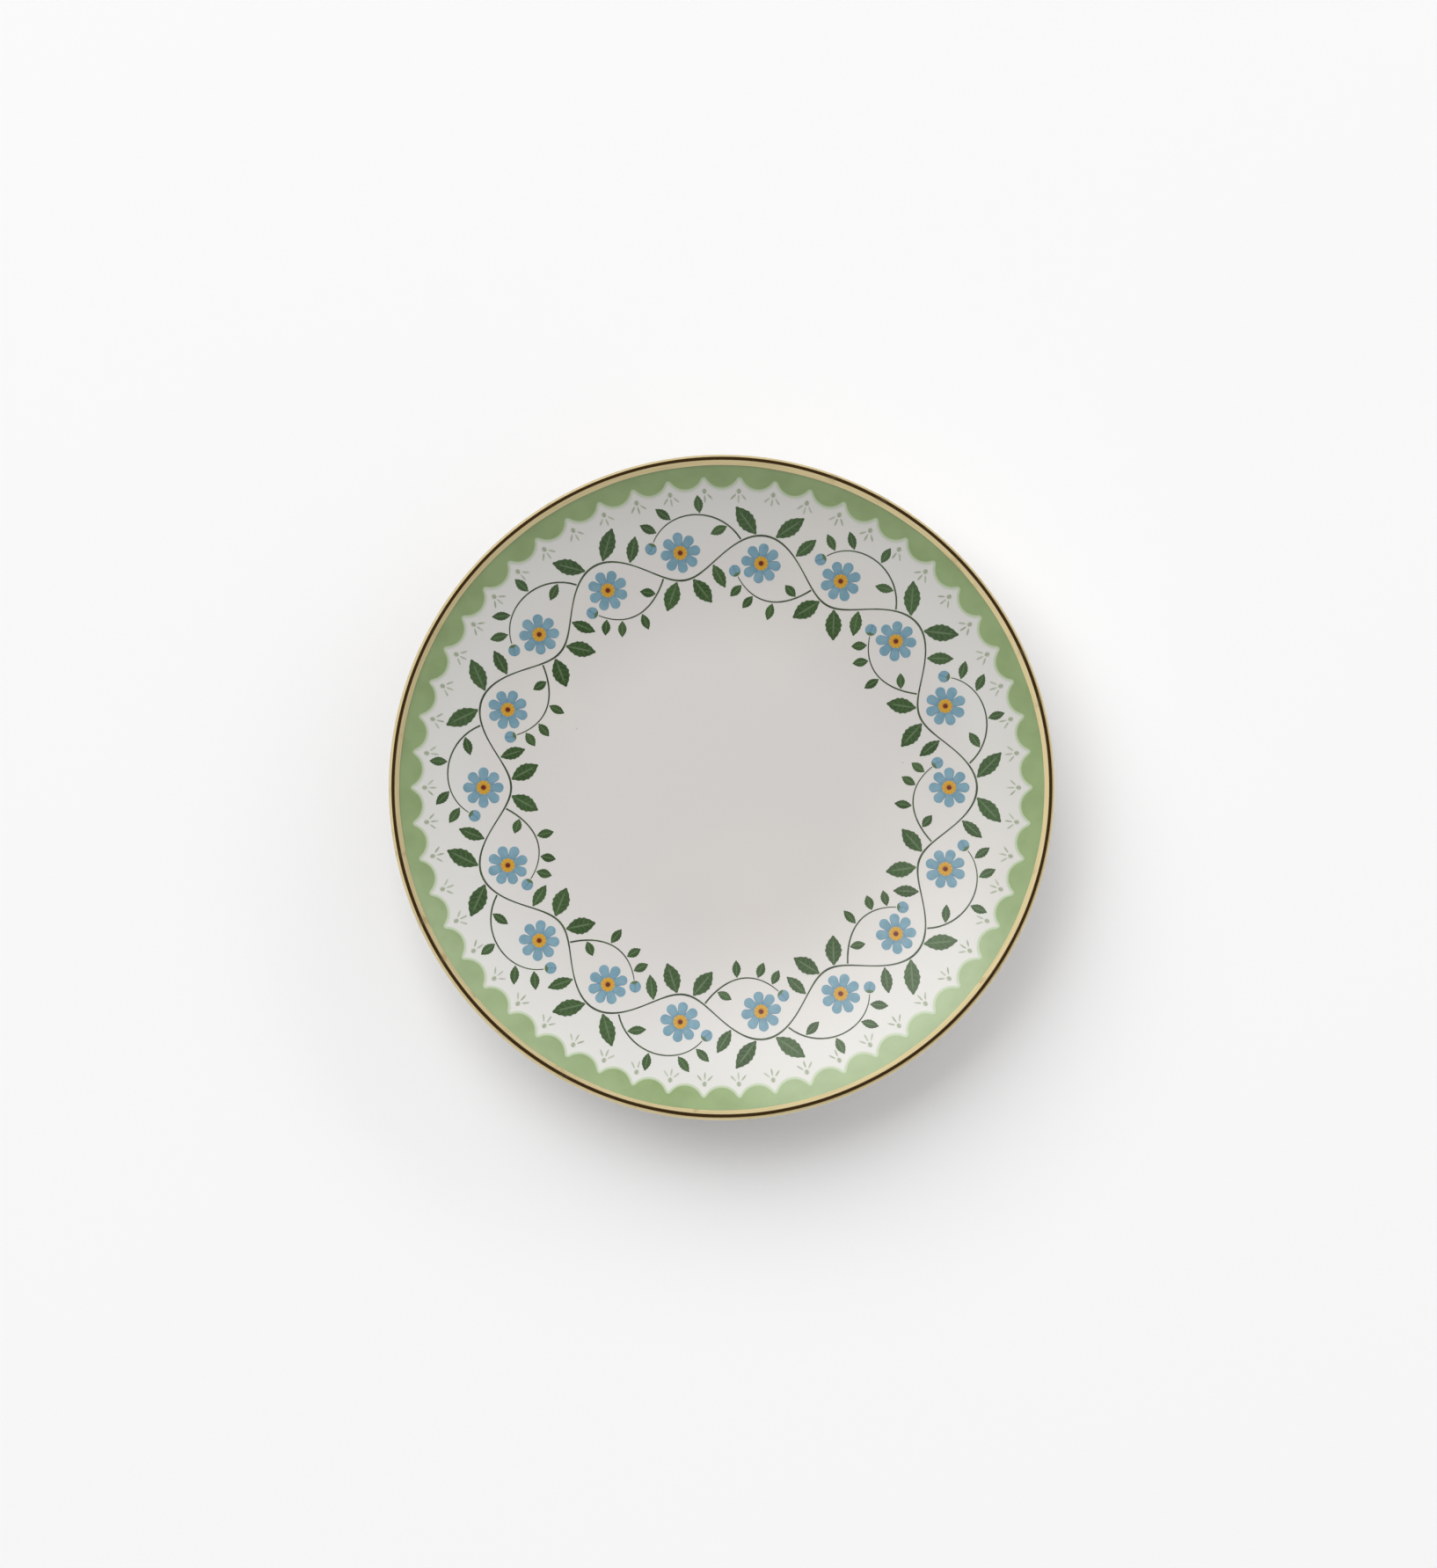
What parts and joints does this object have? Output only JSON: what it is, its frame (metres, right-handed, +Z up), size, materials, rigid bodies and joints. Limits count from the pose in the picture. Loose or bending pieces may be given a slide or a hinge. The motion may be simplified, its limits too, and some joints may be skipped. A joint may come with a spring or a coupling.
{
  "type": "ring dish",
  "caption": "Small round footed porcelain dish with a shallow curved well, gilt lip line, green scalloped border and a printed flowering vine, for holding rings and earrings",
  "frame": {"origin": "on the table, under the centre of the dish, in the plane of the foot ring's standing face", "axes": "+Z up along the dish's axis of turning, +X and +Y level, with the vine's first outer bend at +X"},
  "size_m": [0.1016, 0.1016, 0.015],
  "materials": {
    "bisque_porcelain": "matt unglazed white porcelain",
    "clear_glaze": "clear high-gloss glaze over white porcelain",
    "burnished_gold": "bright liquid-gold line, fired on",
    "border_green_enamel": "glossy sage-green enamel",
    "leaf_green_enamel": "glossy dark leaf-green enamel",
    "stem_green_enamel": "glossy moss-green enamel",
    "blue_enamel": "glossy pale grey-blue enamel",
    "amber_enamel": "glossy amber enamel",
    "brown_enamel": "glossy red-brown enamel"
  },
  "bodies": {
    "root": {"porcelain_body": "bisque_porcelain", "face_glaze": "clear_glaze", "base_glaze": "clear_glaze", "gilt_rim_line": "burnished_gold", "scallop_border": "border_green_enamel", "border_pearls": "leaf_green_enamel", "vine_stem": "stem_green_enamel", "laurel_leaves": "leaf_green_enamel", "blossom_petals": "blue_enamel", "blossom_centres": "amber_enamel", "blossom_eyes": "brown_enamel", "flower_buds": "blue_enamel"}
  },
  "joints": []
}
